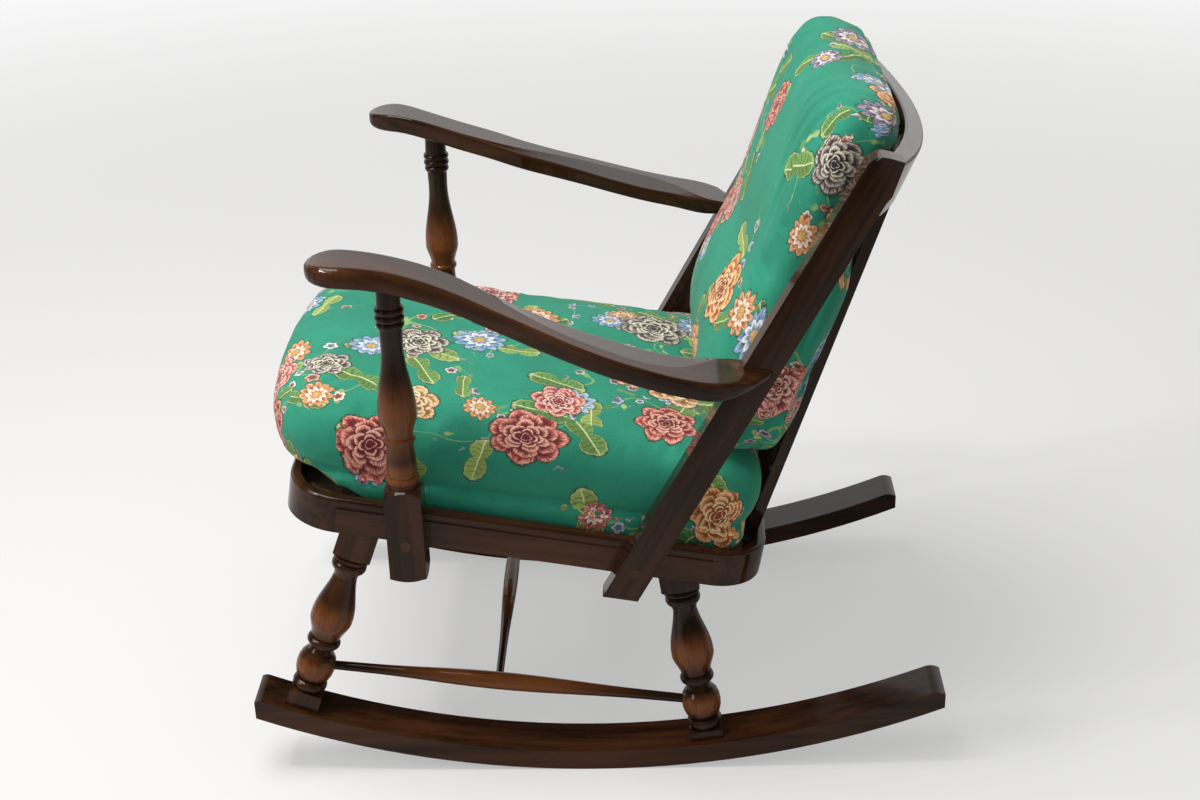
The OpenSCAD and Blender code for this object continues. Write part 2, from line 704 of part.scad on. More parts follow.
function arm_stations() = concat(
    [for (n = arm_nose_shares) [n * arm_nose_share, sqrt(1 - pow(1 - n, 2))]],
    [[arm_nose_share, 1]],
    [for (k = [0 : arm_body_steps])
        [arm_step_share + (arm_tail_share - arm_step_share) * k / arm_body_steps, 1]],
    [for (k = [1 : arm_tail_steps]) [arm_tail_share + (1 - arm_tail_share) * k / arm_tail_steps, 1]]
);
function arm_rings() = [
    for (station = arm_stations())
        [for (q = arm_section(station[0], station[1])) [q.x, arm_front_y + arm_len * station[0], q.y]]
];

// Faces over a stack of rings that all have the same number of points
function ring_faces(rings, points) = [
    for (k = [0 : rings - 2], j = [0 : points - 1])
        let (a = k * points + j, b = k * points + (j + 1) % points)
            each [[a, a + points, b], [b, a + points, b + points]]
];
function fan_faces(hub, first, points, flip) = [
    for (j = [0 : points - 1])
        let (a = first + j, b = first + (j + 1) % points)
            flip ? [hub, b, a] : [hub, a, b]
];

module ring_solid(rings, start, finish) {
    points = len(rings[0]);
    total = len(rings) * points;
    polyhedron(
        points = concat([for (ring = rings) each ring], [start, finish]),
        faces = concat(
            ring_faces(len(rings), points),
            fan_faces(total, 0, points, false),
            fan_faces(total + 1, total - points, points, true)
        )
    );
}

function centre(ring) = [for (axis = [0 : 2]) ([for (q = ring) q[axis]] * [for (q = ring) 1]) / len(ring)];

module arm_solid() {
    rings = arm_rings();
    ring_solid(rings, centre(rings[0]), centre(rings[len(rings) - 1]));
}

// Everything behind a stile's front edge, out to its outer face
module stile_space() {
    translate([0, stile_front_y(0), 0]) rotate([-stile_rake, 0, 0]) cube([stile_x, 2 * over, 2 * head_z]);
}

module arm(side) {
    color(walnut) on_side(side) difference() {
        arm_solid();
        stile_space();
    }
}

module stile_outline() {
    head_corner_y = stile_front_y(head_z);
    head_step_z = head_low_z + head_h * 0.14;
    head_top_run = head_back_y - head_corner_y - head_reach;
    difference() {
        polygon([
            [stile_front_y(stile_foot_z), stile_foot_z],
            [stile_front_y(stile_foot_z) + stile_foot_run, stile_foot_z - stile_foot_run * tan(seat_tilt)],
            [stile_front_y(head_low_z) + stile_depth, head_low_z],
            [stile_front_y(head_step_z) + stile_depth + head_flare, head_step_z],
            [head_back_y, head_rear_z],
            [head_back_y - head_top_run * 0.6, head_z - head_fall * 0.3],
            [head_corner_y + head_reach, head_z],
            [head_corner_y, head_z]
        ]);
        head_round();
    }
}

// Takes the front corner off a stile's head, tangent to its front edge and its top
module head_round() {
    edge_end = [-head_reach * sin(stile_rake), -head_reach * cos(stile_rake)];
    translate([stile_front_y(head_z), head_z]) difference() {
        polygon([[-over, over], [head_reach, over], [head_reach, -head_r], edge_end, [-over, -over]]);
        translate([head_reach, -head_r]) circle(head_r);
    }
}

module back_stile(side) {
    color(walnut) on_side(side) difference() {
        translate([rail_x, 0, 0]) rotate([90, 0, 90]) linear_extrude(stile_t) stile_outline();
        stile_screw_line() screw_bores(stile_t);
    }
}

module crest_section() {
    for (x = [crest_edge_r, crest_t - crest_edge_r], z = [crest_edge_r, crest_h - crest_edge_r])
        translate([x, z]) circle(crest_edge_r);
    translate([crest_edge_r, 0]) square([crest_t - 2 * crest_edge_r, crest_h]);
    translate([0, crest_edge_r]) square([crest_t, crest_h - 2 * crest_edge_r]);
}

module crest_solid() {
    half_turn = asin((rail_x + crest_t) / (crest_r - crest_t));
    intersection() {
        translate([0, crest_back_y, crest_top_z]) rotate([-crest_rake, 0, 0])
            translate([0, -crest_end_run, 0]) rotate([0, 0, 90 - half_turn])
                rotate_extrude(angle = 2 * half_turn, $fn = 180)
                    translate([crest_r - crest_t, -crest_h]) crest_section();
        translate([-rail_x, 0, 0]) cube([frame_w, rocker_len, 2 * head_z]);
    }
}

module crest_rail() {
    color(walnut) crest_solid();
}

module back_slat(i) {
    len = norm(slat_head(i) - slat_foot(i));
    color(walnut) difference() {
        intersection() {
            translate(slat_foot(i)) rotate([-slat_rake(i), 0, 0]) rotate([0, 0, slat_turn(i)])
                translate([-slat_w / 2, -slat_t / 2, -rail_h]) cube([slat_w, slat_t, len + rail_h]);
            frame_space() translate([-rail_x, 0, 0]) cube([frame_w, frame_len, head_z]);
        }
        crest_solid();
    }
}

module webbing_long() {
    pitch = (2 * (rail_x - corner_r) - strap_w) / (long_straps - 1);
    color(jute) frame_space() for (i = [0 : long_straps - 1])
        translate([i * pitch + corner_r - rail_x, strap_inset - frame_front, -rebate_d])
            cube([strap_w, frame_len - 2 * strap_inset, strap_t]);
}

module webbing_cross() {
    pitch = (side_rail_back - side_rail_front - strap_w) / (cross_straps - 1);
    color(jute) frame_space() for (i = [0 : cross_straps - 1])
        translate([strap_inset - rail_x, side_rail_front + i * pitch, strap_t - rebate_d])
            cube([frame_w - 2 * strap_inset, strap_w, strap_t]);
}

module wood_screw(depth) {
    translate([0, 0, depth - plug_t - screw_head_t]) {
        cylinder(h = screw_head_t, r = plug_d / 2);
        translate([0, 0, -screw_len]) cylinder(h = screw_len, r = screw_d / 2);
    }
}

module wood_screws() {
    color(steel) for (side = [-1, 1]) on_side(side) {
        post_screw_line() wood_screw(post_block_w - post_notch);
        stile_screw_line() wood_screw(stile_t);
    }
}

module screw_plug(depth) {
    translate([0, 0, depth - plug_t]) cylinder(h = plug_t, r = plug_d / 2);
}

module screw_plugs() {
    color(walnut) for (side = [-1, 1]) on_side(side) {
        post_screw_line() screw_plug(post_block_w - post_notch);
        stile_screw_line() screw_plug(stile_t);
    }
}

// Outline of a cushion seen from above: a rectangle with rounded corners and drawn-in sides.
// Its set holds how far its front bows out, the slope by which its foot is cut to lie on the
// seat, how far the rail behind presses it in, the lean of its rear face, how much higher its
// rear is, how much it bulges low down, how far its front is lifted over the front rail, the
// roundness of its lower edges as a share of that of the upper ones, and the squareness of its
// front and rear corners
function cushion_point(size, inset, grow, z, set, turn) =
    let (
        half_x = size.x / 2 - inset,
        half_y = size.y / 2 - inset,
        power = set[sin(turn) < 0 ? 8 : 9],
        r = grow * pow(pow(abs(cos(turn)), power) + pow(abs(sin(turn)), power), -1 / power),
        u = r * cos(turn),
        v = r * sin(turn),
        x = u * (half_x - cushion_draw * (1 - v * v)),
        y = v * (half_y - cushion_draw * (1 - u * u)),
        high = z / size.z,
        bow = set[0] * u * u * max(0, -v),
        lean = set[3] * z * pow(max(0, v), 2),
        cut = z * set[1] * (0.5 - y / size.y),
        press = set[2] * pow(abs(2 * x / size.x), 3.5) * sin(180 * max(0, v) / press_reach_share),
        rise = set[4] * max(0, v),
        belly = set[5] * cos(90 * min(1, abs(v - belly_shares[0]) / belly_shares[1])) * (1 - u * u / 2),
        lift = set[6] * eased((-v - lift_shares[0]) / (lift_shares[1] - lift_shares[0]))
    ) [x, y + bow + lean - cut, z + (rise + belly) * high + (press + lift) * max(0, 1 - high)];
function cushion_ring(size, inset, grow, z, set) = [
    for (quarter = [0 : 3], k = [0 : len(cushion_turns) - 2])
        let (
            even = quarter % 2 == 0,
            turn = even ? cushion_turns[k] : 90 - cushion_turns[len(cushion_turns) - 1 - k]
        ) cushion_point(size, inset, grow, z, set, 90 * quarter + turn)
];
function cushion_rings(size, crown, set) = concat(
    [for (s = cushion_under_shares) cushion_ring(size, cushion_edge_r * set[7], s, 0, set)],
    [for (k = [0 : len(cushion_angles) - 1])
        let (
            a = cushion_angles[k],
            seam = k == cushion_seam ? cushion_seam_in : 0,
            edge = cushion_edge_r * (a < 0 ? set[7] : 1),
            inset = edge * (1 - pow(cos(a), 0.7)) + seam
        ) cushion_ring(size, inset, 1, size.z * (1 + sin(a)) / 2, set)],
    [for (s = cushion_inner_shares)
        cushion_ring(size, cushion_edge_r, s, size.z + crown * (1 - s * s), set)]
);

// A stuffed cushion that lies flat: X is its width, -Y its front and Z its thickness
module cushion(size, crown, set) {
    rings = cushion_rings(size, crown, set);
    ring_solid(rings, centre(rings[0]), centre(rings[len(rings) - 1]));
}

module seat_cushion() {
    seat_cushion_size = [seat_cushion_w, seat_cushion_len, seat_cushion_h];
    seat_lean = tan(lean_over_seat) * seat_lean_share;
    seat_set = [
        seat_cushion_bow, 0, 0, seat_lean, seat_cushion_rise, 0, seat_cushion_sink, 0.85, soft_corner, square_corner
    ];
    color(fabric) frame_space()
        translate([0, seat_cushion_back - seat_cushion_len / 2, soft_gap - seat_cushion_sink])
            cushion(seat_cushion_size, seat_crown, seat_set);
}

module back_cushion() {
    back_cushion_size = [back_cushion_w, back_cushion_len, back_cushion_t];
    foot_slope = tan(lean_over_seat) * foot_slope_share;
    back_set = [0, foot_slope, back_press, 0, 0, back_belly, 0, 0.4, square_corner, soft_corner];
    color(fabric) translate(slat_foot((slat_count - 1) / 2)) rotate([-back_lean, 0, 0])
        translate([0, slat_turn_run - slat_t / 2 - soft_gap, back_cushion_foot + back_cushion_len / 2])
            rotate([90, 0, 0]) cushion(back_cushion_size, back_crown, back_set);
}

rocker(1);  // rocker_left
rocker(-1);  // rocker_right
leg(1, front_leg_top, front_leg_foot, front_leg_foot_len);  // front_leg_left
leg(-1, front_leg_top, front_leg_foot, front_leg_foot_len);  // front_leg_right
leg(1, rear_leg_top, rear_leg_foot, rear_leg_foot_len);  // rear_leg_left
leg(-1, rear_leg_top, rear_leg_foot, rear_leg_foot_len);  // rear_leg_right
side_stretcher(1);  // side_stretcher_left
side_stretcher(-1);  // side_stretcher_right
cross_stretcher();
front_rail();
rear_rail();
side_rail(1);  // side_rail_left
side_rail(-1);  // side_rail_right
corner_blocks();
arm_post(1);  // arm_post_left
arm_post(-1);  // arm_post_right
arm(1);  // arm_left
arm(-1);  // arm_right
back_stile(1);  // back_stile_left
back_stile(-1);  // back_stile_right
crest_rail();
back_slat(0);  // back_slat_1
back_slat(1);  // back_slat_2
back_slat(2);  // back_slat_3
back_slat(3);  // back_slat_4
back_slat(4);  // back_slat_5
webbing_long();
webbing_cross();
wood_screws();
screw_plugs();
seat_cushion();
back_cushion();
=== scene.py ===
import math

import bpy
import numpy as np
from mathutils import Matrix, Vector


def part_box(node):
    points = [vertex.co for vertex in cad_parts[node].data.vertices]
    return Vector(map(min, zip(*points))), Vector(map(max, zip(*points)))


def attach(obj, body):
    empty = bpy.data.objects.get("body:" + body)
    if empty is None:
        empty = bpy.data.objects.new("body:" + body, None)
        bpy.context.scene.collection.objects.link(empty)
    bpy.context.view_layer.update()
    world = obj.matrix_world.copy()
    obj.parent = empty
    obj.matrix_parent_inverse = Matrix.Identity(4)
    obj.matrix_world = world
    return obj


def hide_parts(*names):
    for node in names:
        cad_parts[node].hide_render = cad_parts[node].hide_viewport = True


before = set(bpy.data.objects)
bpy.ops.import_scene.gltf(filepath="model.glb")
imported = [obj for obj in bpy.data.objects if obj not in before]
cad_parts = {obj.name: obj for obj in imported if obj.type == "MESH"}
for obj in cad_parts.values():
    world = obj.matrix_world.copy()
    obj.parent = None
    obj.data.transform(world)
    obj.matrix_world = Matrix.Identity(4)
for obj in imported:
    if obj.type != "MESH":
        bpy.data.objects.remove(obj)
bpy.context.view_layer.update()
print("frame loaded:", len(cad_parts), "nodes")

# The photograph's view: place in metres, angles in degrees, focal length in pixels of 1200
shot = {
    "place": (2.0612, 0.0724, 1.3636),
    "yaw": 1.90,
    "pitch": 26.02,
    "roll": -1.73,
    "focalPixels": 1870.8,
    "framePixels": 1200,
    "sensor": 36.0,
}


def makeCamera(shot):
    yaw, pitch, roll = (math.radians(shot[key]) for key in ("yaw", "pitch", "roll"))
    reach, drop = math.cos(pitch), math.sin(pitch)
    ahead = Vector((-math.cos(yaw) * reach, -math.sin(yaw) * reach, -drop))
    level = ahead.cross(Vector((0, 0, 1))).normalized()
    above = level.cross(ahead)
    right = math.cos(roll) * level + math.sin(roll) * above
    up = -math.sin(roll) * level + math.cos(roll) * above
    lens = bpy.data.cameras.new("camera")
    lens.sensor_width = shot["sensor"]
    lens.lens = shot["focalPixels"] / shot["framePixels"] * shot["sensor"]
    camera = bpy.data.objects.new("camera", lens)
    bpy.context.scene.collection.objects.link(camera)
    turn = Matrix((right, up, -ahead)).transposed().to_4x4()
    camera.matrix_world = Matrix.Translation(Vector(shot["place"])) @ turn
    bpy.context.scene.camera = camera


makeCamera(shot)
bpy.context.scene.view_settings.view_transform = "Standard"
print("camera set")


class Val:
    # A socket of a shader: sums and products with it add Math nodes
    def __init__(self, shader, socket):
        self.shader = shader
        self.socket = socket

    def calc(self, operation, *others):
        return self.shader.make("ShaderNodeMath", {"operation": operation}, [self, *others])

    def under(self, operation, other):
        return self.shader.make("ShaderNodeMath", {"operation": operation}, [other, self])

    def __add__(self, other):
        return self.calc("ADD", other)

    def __radd__(self, other):
        return self.calc("ADD", other)

    def __sub__(self, other):
        return self.calc("SUBTRACT", other)

    def __rsub__(self, other):
        return self.under("SUBTRACT", other)

    def __mul__(self, other):
        return self.calc("MULTIPLY", other)

    def __rmul__(self, other):
        return self.calc("MULTIPLY", other)

    def __truediv__(self, other):
        return self.calc("DIVIDE", other)

    def __rtruediv__(self, other):
        return self.under("DIVIDE", other)

    def __pow__(self, other):
        return self.calc("POWER", other)

    def __abs__(self):
        return self.calc("ABSOLUTE")

    def __gt__(self, other):
        return self.calc("GREATER_THAN", other)

    def sine(self):
        return self.calc("SINE")

    def cosine(self):
        return self.calc("COSINE")

    def most(self, other):
        return self.calc("MAXIMUM", other)

    def ramp(self, low, high, to=(0.0, 1.0)):
        # 0 below low, 1 above high and a smooth step between them; low may be the greater
        settings = {"interpolation_type": "SMOOTHSTEP"}
        return self.shader.make("ShaderNodeMapRange", settings, [self, low, high, *to])


class Shader:
    # Builds one material, or the nodes of what is given
    def __init__(self, name, owner=None):
        self.material = owner or bpy.data.materials.new(name)
        self.material.use_nodes = True
        self.tree = self.material.node_tree
        self.tree.nodes.clear()

    def make(self, kind, settings=None, inputs=(), output=0):
        node = self.tree.nodes.new(kind)
        for key, value in (settings or {}).items():
            if key == "stops":
                self.setStops(node.color_ramp, value)
            else:
                setattr(node, key, value)
        pairs = inputs.items() if isinstance(inputs, dict) else enumerate(inputs)
        for key, value in pairs:
            if isinstance(value, Val):
                self.tree.links.new(value.socket, node.inputs[key])
            else:
                node.inputs[key].default_value = value
        return Val(self, node.outputs[output]) if len(node.outputs) else None

    def setStops(self, ramp, stops):
        ramp.interpolation = "CONSTANT"
        for spare in list(ramp.elements)[1:]:
            ramp.elements.remove(spare)
        for count, (place, colour) in enumerate(stops):
            stop = ramp.elements[0] if count == 0 else ramp.elements.new(place)
            stop.position = place
            stop.color = (*colour, 1.0)

    def twin(self, value, output):
        # Another output of the node that a value comes from
        return Val(self, value.socket.node.outputs[output])

    def place(self):
        return self.make("ShaderNodeTexCoord", output="Object")

    def clothPlace(self):
        return self.make("ShaderNodeUVMap", {"uv_map": "cloth"})

    def vector(self, operation, *inputs, output=0):
        return self.make("ShaderNodeVectorMath", {"operation": operation}, list(inputs), output)

    def dot(self, a, b):
        return self.vector("DOT_PRODUCT", a, b, output="Value")

    def scaled(self, a, amount):
        inputs = {"Vector": a, "Scale": amount}
        return self.make("ShaderNodeVectorMath", {"operation": "SCALE"}, inputs)

    def parts(self, vector):
        x = self.make("ShaderNodeSeparateXYZ", None, [vector])
        return x, self.twin(x, 1), self.twin(x, 2)

    def joined(self, x, y, z=0.0):
        return self.make("ShaderNodeCombineXYZ", None, [x, y, z])

    def noise(self, vector, scale, detail=2.0, rough=0.5, colour=False):
        inputs = {"Vector": vector, "Scale": scale, "Detail": detail, "Roughness": rough}
        return self.make("ShaderNodeTexNoise", None, inputs, "Color" if colour else 0)

    def tint(self, stops, value):
        # One of several colours, by where a value lies between their places
        return self.make("ShaderNodeValToRGB", {"stops": stops}, [value])

    def mix(self, share, a, b):
        a, b = ((*c, 1.0) if isinstance(c, tuple) else c for c in (a, b))
        return self.make("ShaderNodeMix", {"data_type": "RGBA"}, {0: share, 6: a, 7: b}, 2)

    def lighten(self, colour, amount):
        # Multiplies a colour by a number
        grey = self.joined(amount, amount, amount)
        settings = {"data_type": "RGBA", "blend_type": "MULTIPLY"}
        return self.make("ShaderNodeMix", settings, {0: 1.0, 6: colour, 7: grey}, 2)

    def bump(self, height, strength, distance):
        inputs = {"Strength": strength, "Distance": distance, "Height": height}
        return self.make("ShaderNodeBump", None, inputs)

    def finish(self, colour, **sockets):
        inputs = {"Base Color": (*colour, 1.0) if isinstance(colour, tuple) else colour}
        inputs.update({key.replace("_", " "): value for key, value in sockets.items()})
        surface = self.make("ShaderNodeBsdfPrincipled", None, inputs)
        self.make("ShaderNodeOutputMaterial", None, [surface])
        return self.material


def longWay(co):
    # Direction and ends of the longest way through a set of points
    centre = co.mean(0)
    values, ways = np.linalg.eigh(np.cov((co - centre).T))
    way = ways[:, values.argmax()]
    way = way * (1 if way[np.abs(way).argmax()] > 0 else -1)
    along = (co - centre) @ way
    return Vector(way), centre @ way + along.min(), centre @ way + along.max()


def points(obj):
    co = np.empty(len(obj.data.vertices) * 3)
    obj.data.vertices.foreach_get("co", co)
    return co.reshape(-1, 3)


# Stained and lacquered wood: deep and body colours of the grain and pores, a warm colour for
# random clouds in the stain and for the painted light on turned bellies, how fine the grain is and
# how far it is drawn out, and the gloss of wood and lacquer
lacquer = {
    "deep": (0.0105, 0.0044, 0.0020),
    "body": (0.034, 0.0134, 0.0054),
    "warm": (0.165, 0.052, 0.0140),
    "warmth": 0.35,
    "streakScale": 95.0,
    "poreScale": 380.0,
    "cloudScale": 13.0,
    "stretch": 0.07,
    "shiftPerPiece": (0.37, 0.73, 0.19),
    "roughness": (0.26, 0.38),
    "specular": 0.02,
    "coat": 1.0,
    "coatRoughness": 0.08,
    "coatIndex": 1.30,
    "bumpStrength": 0.10,
    "bumpDepth": 0.0006,
}


def lacqueredWood(name, way, litBands=(), ends=(0.0, 1.0), least=0.0, seed=0):
    # Wood whose grain runs along way, with painted light at some shares of the way between its
    # ends:
    # warm and lighter there, as a turned belly looks where it catches the lamps
    sh = Shader(name)
    place = sh.place()
    along = sh.dot(place, tuple(way))
    grain = sh.vector("ADD", place, sh.scaled(tuple(way), along * (lacquer["stretch"] - 1)))
    grain = sh.vector("ADD", grain, tuple(seed * step for step in lacquer["shiftPerPiece"]))
    cloud = sh.noise(grain, lacquer["cloudScale"], 3.0)
    streak = sh.noise(grain, lacquer["streakScale"], 4.0, 0.6)
    pore = sh.noise(grain, lacquer["poreScale"], 2.0).ramp(0.60, 0.72)
    # Random warm clouds in the stain, raised everywhere to a least share where one is given
    warmAndLit = (cloud.ramp(0.45, 0.75) * lacquer["warmth"]).most(least)
    share = (along - ends[0]) / (ends[1] - ends[0])
    # Painted light: the bellies and stretcher middles are warmed and lightened as if lit
    for middle, half in litBands:
        warmAndLit = warmAndLit.most(abs(share - middle).ramp(half, half * 0.15))
    base = sh.mix(streak.ramp(0.30, 0.72), lacquer["deep"], lacquer["body"])
    colour = sh.mix(warmAndLit * streak.ramp(0.2, 0.7, (0.55, 1.0)), base, lacquer["warm"])
    colour = sh.mix(pore * 0.5, colour, lacquer["deep"])
    height = streak * 0.6 - pore * 0.4
    return sh.finish(
        colour,
        Roughness=streak.ramp(0.3, 0.7, lacquer["roughness"]),
        Specular_IOR_Level=lacquer["specular"],
        Coat_Weight=lacquer["coat"],
        Coat_Roughness=lacquer["coatRoughness"],
        Coat_IOR=lacquer["coatIndex"],
        Normal=sh.bump(height, lacquer["bumpStrength"], lacquer["bumpDepth"]),
    )


# Bare wood of the corner blocks
bareWood = {
    "dark": (0.085, 0.050, 0.026),
    "light": (0.15, 0.095, 0.05),
    "way": (0.8, 0.6, 0.0),
    "streakScale": 120.0,
    "stretch": 0.08,
    "roughness": (0.6, 0.8),
    "bumpStrength": 0.3,
    "bumpDepth": 0.0005,
}


def rawWood(name):
    sh = Shader(name)
    place, way = sh.place(), bareWood["way"]
    along = sh.dot(place, way)
    grain = sh.vector("ADD", place, sh.scaled(way, along * (bareWood["stretch"] - 1)))
    streak = sh.noise(grain, bareWood["streakScale"], 4.0)
    colour = sh.mix(streak.ramp(0.3, 0.7), bareWood["dark"], bareWood["light"])
    bump = sh.bump(streak, bareWood["bumpStrength"], bareWood["bumpDepth"])
    return sh.finish(colour, Roughness=streak.ramp(0.2, 0.8, bareWood["roughness"]), Normal=bump)


# Jute webbing, dark brown all over, with its threads per metre
jute = {
    "dark": (0.022, 0.014, 0.008),
    "light": (0.075, 0.050, 0.028),
    "threads": 420.0,
    "hairScale": 300.0,
    "roughness": (0.8, 0.95),
    "bumpStrength": 0.5,
    "bumpDepth": 0.0006,
}


def juteWebbing(name):
    sh = Shader(name)
    x, y = sh.parts(sh.place())[:2]
    warp = (x * (jute["threads"] * math.pi)).sine()
    weft = (y * (jute["threads"] * math.pi)).sine()
    weave = warp * weft * 0.5 + 0.5
    hair = sh.noise(sh.place(), jute["hairScale"], 3.0)
    colour = sh.mix((weave * 0.6 + hair * 0.4).ramp(0.2, 0.8), jute["dark"], jute["light"])
    bump = sh.bump(weave, jute["bumpStrength"], jute["bumpDepth"])
    return sh.finish(colour, Roughness=hair.ramp(0.2, 0.8, jute["roughness"]), Normal=bump)


# Steel of the screws under the plugs
steel = {
    "dark": (0.42, 0.42, 0.44),
    "light": (0.60, 0.60, 0.62),
    "rubScale": 240.0,
    "roughness": (0.28, 0.45),
}


def plainSteel(name):
    sh = Shader(name)
    rub = sh.noise(sh.place(), steel["rubScale"], 3.0)
    colour = sh.mix(rub, steel["dark"], steel["light"])
    return sh.finish(colour, Metallic=1.0, Roughness=rub.ramp(0.2, 0.8, steel["roughness"]))


# Where each turned piece gets painted light, warm and lighter as a lit bulge looks, as shares of
# its length from its foot, and how far
turnings = {
    "front_leg": ((0.485, 0.13), (0.215, 0.075)),
    "rear_leg": ((0.51, 0.14), (0.20, 0.08)),
    "arm_post": ((0.555, 0.17), (0.37, 0.06)),
    "side_stretcher": ((0.5, 0.42),),
    "cross_stretcher": ((0.5, 0.4),),
}

# Edges that turn more than this, in degrees, stay sharp; the plugs' grain, and the least share of
# warm colour painted on them all over as the highlight of a domed head
frameFinish = {"sharpAngle": 32, "plugWay": (0.0, 1.0, 0.0), "plugPaintedHighlight": 0.30}


def dressFrame(given):
    for seed, (name, node) in enumerate(sorted(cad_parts.items())):
        node.data.shade_smooth()
        node.data.set_sharp_from_angle(angle=math.radians(given["sharpAngle"]))
        way, low, high = longWay(points(node))
        kind = name.removesuffix("_left").removesuffix("_right")
        if kind in ("seat_cushion", "back_cushion"):
            continue
        if kind == "corner_blocks":
            finish = rawWood("rawWood")
        elif kind.startswith("webbing"):
            finish = juteWebbing("jute." + name)
        elif kind == "wood_screws":
            finish = plainSteel("steel")
        elif kind == "screw_plugs":
            # Painted highlight: each plug is lightened all over in place of the light on a domed
            # head
            least = given["plugPaintedHighlight"]
            finish = lacqueredWood("wood." + name, given["plugWay"], least=least, seed=seed)
        else:
            litBands = turnings.get(kind, ())
            finish = lacqueredWood("wood." + name, way, litBands, (low, high), seed=seed)
        node.data.materials.clear()
        node.data.materials.append(finish)


dressFrame(frameFinish)
print("wood finished")

# The cloth and its print, in metres on the cloth: its ground, how far the print is turned, how its
# bunches scatter, how its edges waver, and the threads per metre
floralPrint = {
    "ground": (0.0175, 0.248, 0.152),
    "groundDark": (0.0110, 0.178, 0.106),
    "outline": (0.022, 0.020, 0.016),
    "turn": 0.42,
    "bunchScale": 6.5,
    "waver": 0.008,
    "waverScale": 24.0,
    "jag": 0.0022,
    "jagScale": 260.0,
    "fray": 0.22,
    "slubScales": (60, 1500),
    "slubTone": (0.80, 1.20),
    "threads": 1150,
    "roughness": (0.74, 0.88),
    "specular": 0.3,
    "sheen": 0.08,
    "sheenRoughness": 0.5,
    "bumpStrength": 0.35,
    "bumpDepth": 0.0006,
}


class Patch:
    # The nearest cell of a scattered layer: its radius and angle, three random numbers, and how
    # crowded the print is there. Each layer has its cells per metre, where they start, how freely
    # they scatter and a motif's radius in metres
    def __init__(self, sh, place, layer):
        moved = sh.vector("ADD", place, (*layer["shift"], 0.0))
        settings = {"voronoi_dimensions": "2D", "feature": "F1"}
        inputs = {"Vector": moved, "Scale": layer["cells"], "Randomness": layer["scatter"]}
        near = sh.make("ShaderNodeTexVoronoi", settings, inputs, "Position")
        self.layer = layer
        self.first, self.second, self.third = sh.parts(sh.twin(near, "Color"))
        x, y = sh.parts(sh.vector("SUBTRACT", moved, near))[:2]
        self.radius = (x * x + y * y).calc("SQRT")
        self.angle = y.calc("ARCTAN2", x) + self.first * (2 * math.pi)
        middle = sh.vector("SUBTRACT", near, (*layer["shift"], 0.0))
        self.bunch = sh.noise(middle, floralPrint["bunchScale"], 0.0)

    def reach(self):
        # Distance from the middle, 1 at the motif's own size, which varies from a least by a spread
        least, spread = self.layer["sizes"]
        return self.radius / (self.third * spread + least) / self.layer["radius"]


def petals(radius, angle, count, wave, turn=0.0):
    # Share of the way from the middle to the scalloped edge: 1 on the edge
    lobes = abs((angle * (count / 2) + turn).cosine())
    return radius / (lobes * wave + (1 - wave))


def inside(k, soft=0.04):
    return k.ramp(1.0, 1.0 - soft)


def rays(sh, patch, radius):
    # Fine lines that run out from the middle of a flower
    rate = patch.layer["rays"]
    swing, drift = radius * 1.4, patch.third * 9
    ray = sh.joined(patch.angle.cosine() * rate, patch.angle.sine() * rate, swing + drift)
    return sh.noise(ray, 3.0, 2.0, 0.6)


# Roses: outer, inner and shaded colour of each kind, and reach, petals, wave, turn and the share of
# the light colour for each ring
roses = {
    "cells": 8.6,
    "shift": (0.31, 0.17),
    "scatter": 0.62,
    "radius": 0.045,
    "sizes": (0.62, 0.5),
    "crowd": 0.475,
    "rays": 6.0,
    "tilt": 0.10,
    "outlineReach": 1.07,
    "kinds": (0.0, 0.26, 0.48, 0.66, 0.84),
    "outer": (
        (0.66, 0.215, 0.040), (0.42, 0.040, 0.030), (0.095, 0.036, 0.068), (0.60, 0.28, 0.085),
        (0.55, 0.105, 0.090),
    ),
    "inner": (
        (0.90, 0.66, 0.36), (0.84, 0.46, 0.34), (0.80, 0.78, 0.58), (0.88, 0.78, 0.52),
        (0.88, 0.62, 0.50),
    ),
    "deep": (
        (0.22, 0.050, 0.012), (0.12, 0.010, 0.018), (0.045, 0.022, 0.034), (0.22, 0.085, 0.022),
        (0.17, 0.020, 0.026),
    ),
    "rings": (
        (1.00, 7, 0.20, 0.0, 0.08), (0.79, 6, 0.20, 1.1, 0.25), (0.61, 6, 0.24, 0.4, 0.65),
        (0.45, 5, 0.24, 1.9, 0.90), (0.30, 4, 0.30, 0.9, 0.95), (0.15, 3, 0.30, 0.2, 0.60),
    ),
}


def addRoses(sh, cloth, place):
    patch = Patch(sh, place, roses)
    kept = patch.bunch > roses["crowd"]
    r = patch.reach()
    line = rays(sh, patch, r)
    outer, inner, deep = (
        sh.tint(list(zip(roses["kinds"], roses[part])), patch.first)
        for part in ("outer", "inner", "deep")
    )
    tilt = (patch.angle + patch.second * 6).cosine() * roses["tilt"]
    count, wave = roses["rings"][0][1:3]
    edge = (petals(r, patch.angle, count, wave) + (line - 0.5) * 0.20) / roses["outlineReach"]
    cloth = sh.mix(inside(edge, 0.06) * kept * 0.85, cloth, floralPrint["outline"])
    for reach, count, wave, turn, tone in roses["rings"]:
        k = petals(r / reach, patch.angle, count, wave, turn) + (line - 0.5) * floralPrint["fray"]
        k = k + tilt * (1 - reach)
        fold = abs((patch.angle * (count / 2) + turn).cosine()).ramp(0.0, 0.45)
        rim = k.ramp(0.80, 0.98) * fold
        petal = sh.mix(k.ramp(0.70, 0.92) * fold, deep, sh.mix(tone, outer, inner))
        petal = sh.mix(rim * line.ramp(0.36, 0.58) * 0.9, petal, inner)
        petal = sh.mix(line.ramp(0.52, 0.40) * k.ramp(0.98, 0.75) * 0.6, petal, deep)
        cloth = sh.mix(inside(k, 0.05) * kept, cloth, petal)
    return cloth


